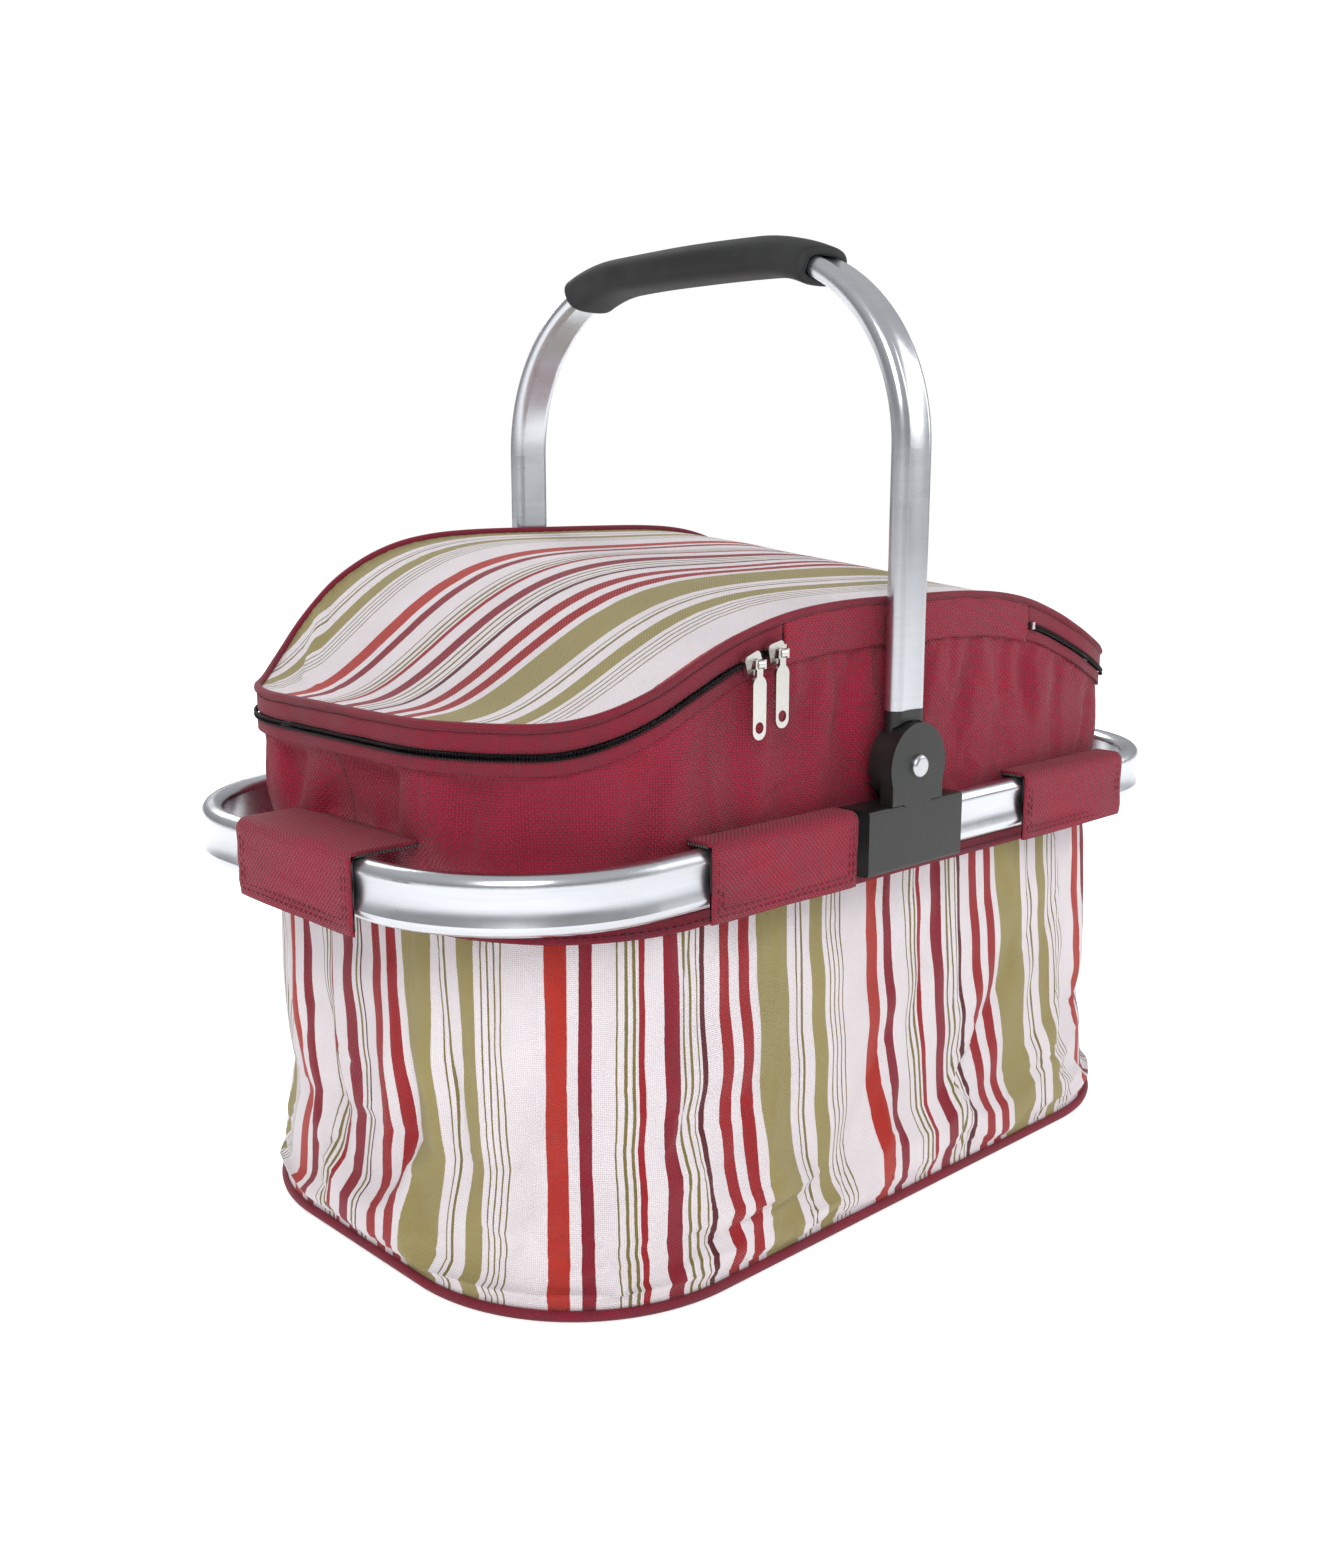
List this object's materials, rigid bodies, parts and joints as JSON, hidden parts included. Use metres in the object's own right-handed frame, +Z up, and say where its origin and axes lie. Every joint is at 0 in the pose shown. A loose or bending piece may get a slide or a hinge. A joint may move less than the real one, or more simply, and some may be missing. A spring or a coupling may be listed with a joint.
{
  "type": "insulated cooler bag",
  "caption": "Soft insulated picnic cooler with a domed zip lid, hung in an oval metal rail with a folding bail handle and a foam grip.",
  "frame": {"origin": "middle of the base where it stands on a surface", "axes": "+Z up, +X along the long side, +Y towards the long side opposite the lid's fabric hinge"},
  "size_m": [0.4812, 0.2764, 0.4275],
  "materials": {
    "rail_aluminium": "satin anodised",
    "splice_aluminium": "mill finish",
    "hinge_plastic": "fine moulded texture",
    "rivet_steel": "polished",
    "grip_foam": "matte foam",
    "striped_canvas": "printed woven stripes",
    "maroon_canvas": "coated woven",
    "maroon_binding": "ribbed tape",
    "insulation_foam": "closed cell foam",
    "foil_liner": "aluminised film",
    "base_fibreboard": "pressed board",
    "zip_nylon": "nylon coil",
    "zip_nickel": "nickel plated",
    "hook_tape": "hook and loop"
  },
  "bodies": {
    "bag": {"frame_rail_left": "rail_aluminium", "frame_rail_right": "rail_aluminium", "rail_splice_near": "splice_aluminium", "rail_splice_far": "splice_aluminium", "hinge_bracket_near": "hinge_plastic", "hinge_bracket_far": "hinge_plastic", "pivot_rivet_near": "rivet_steel", "pivot_rivet_far": "rivet_steel", "body_panel": "striped_canvas", "neck_panel": "maroon_canvas", "wall_foam": "insulation_foam", "floor_foam": "insulation_foam", "inner_liner": "foil_liner", "base_board": "base_fibreboard", "base_panel": "maroon_canvas", "base_piping": "maroon_binding", "rail_binding": "maroon_binding", "zip_tape_lower": "maroon_binding", "zip_coil_lower": "zip_nylon", "hinge_strip": "maroon_canvas", "zip_stops": "zip_nickel"},
    "handle": {"handle_tube": "rail_aluminium", "foam_grip": "grip_foam", "handle_socket_near": "hinge_plastic", "handle_socket_far": "hinge_plastic"},
    "lid": {"lid_cover": "striped_canvas", "lid_foam": "insulation_foam", "lid_liner": "foil_liner", "lid_piping": "maroon_binding", "zip_tape_upper": "maroon_binding", "zip_coil_upper": "zip_nylon"},
    "slider_left": {"zip_slider_left": "zip_nickel"},
    "pull_left": {"zip_pull_left": "zip_nickel"},
    "slider_right": {"zip_slider_right": "zip_nickel"},
    "pull_right": {"zip_pull_right": "zip_nickel"},
    "flap_near_left": {"rail_flap_near_left": "maroon_canvas", "rail_flap_near_left_hook_tape": "hook_tape"},
    "flap_near_right": {"rail_flap_near_right": "maroon_canvas", "rail_flap_near_right_hook_tape": "hook_tape"},
    "flap_far_right": {"rail_flap_far_right": "maroon_canvas", "rail_flap_far_right_hook_tape": "hook_tape"},
    "flap_far_left": {"rail_flap_far_left": "maroon_canvas", "rail_flap_far_left_hook_tape": "hook_tape"},
    "flap_left_end": {"rail_flap_left_end": "maroon_canvas", "rail_flap_left_end_hook_tape": "hook_tape"},
    "flap_right_end": {"rail_flap_right_end": "maroon_canvas", "rail_flap_right_end_hook_tape": "hook_tape"}
  },
  "joints": [
    {"name": "handle_fold", "type": "hinge", "parent": "bag", "child": "handle", "pos_m": [-0.013, 0, 0.203], "axis": [0, -1, 0], "range_deg": [-44, 0]},
    {"name": "lid_hinge", "type": "hinge", "parent": "bag", "child": "lid", "pos_m": [0, -0.1175, 0.272], "axis": [1, 0, 0], "range_deg": [0, 26]},
    {"name": "zip_slide_left", "type": "slide", "parent": "bag", "child": "slider_left", "axis": [0.94, 0, 0.3413], "range_m": [-0.028, 0]},
    {"name": "pull_swing_left", "type": "hinge", "parent": "slider_left", "child": "pull_left", "pos_m": [-0.101, -0.1249, 0.25233], "axis": [-1, 0, 0], "range_deg": [0, 150]},
    {"name": "zip_slide_right", "type": "slide", "parent": "bag", "child": "slider_right", "axis": [0.9751, 0, 0.2217], "range_m": [-0.003, 0]},
    {"name": "pull_swing_right", "type": "hinge", "parent": "slider_right", "child": "pull_right", "pos_m": [-0.088, -0.1249, 0.25565], "axis": [-1, 0, 0], "range_deg": [0, 150]},
    {"name": "flap_peel_near_left", "type": "hinge", "parent": "bag", "child": "flap_near_left", "pos_m": [-0.0905, -0.1186, 0.1876], "axis": [-1, 0, 0], "range_deg": [0, 85]},
    {"name": "flap_peel_near_right", "type": "hinge", "parent": "bag", "child": "flap_near_right", "pos_m": [0.1165, -0.1186, 0.1876], "axis": [-1, 0, 0], "range_deg": [0, 85]},
    {"name": "flap_peel_far_right", "type": "hinge", "parent": "bag", "child": "flap_far_right", "pos_m": [0.0905, 0.1186, 0.1876], "axis": [1, 0, 0], "range_deg": [0, 85]},
    {"name": "flap_peel_far_left", "type": "hinge", "parent": "bag", "child": "flap_far_left", "pos_m": [-0.1165, 0.1186, 0.1876], "axis": [1, 0, 0], "range_deg": [0, 85]},
    {"name": "flap_peel_left_end", "type": "hinge", "parent": "bag", "child": "flap_left_end", "pos_m": [-0.2085, -0.008, 0.1876], "axis": [0, 1, 0], "range_deg": [0, 65]},
    {"name": "flap_peel_right_end", "type": "hinge", "parent": "bag", "child": "flap_right_end", "pos_m": [0.2085, 0.008, 0.1876], "axis": [0, -1, 0], "range_deg": [0, 65]}
  ]
}
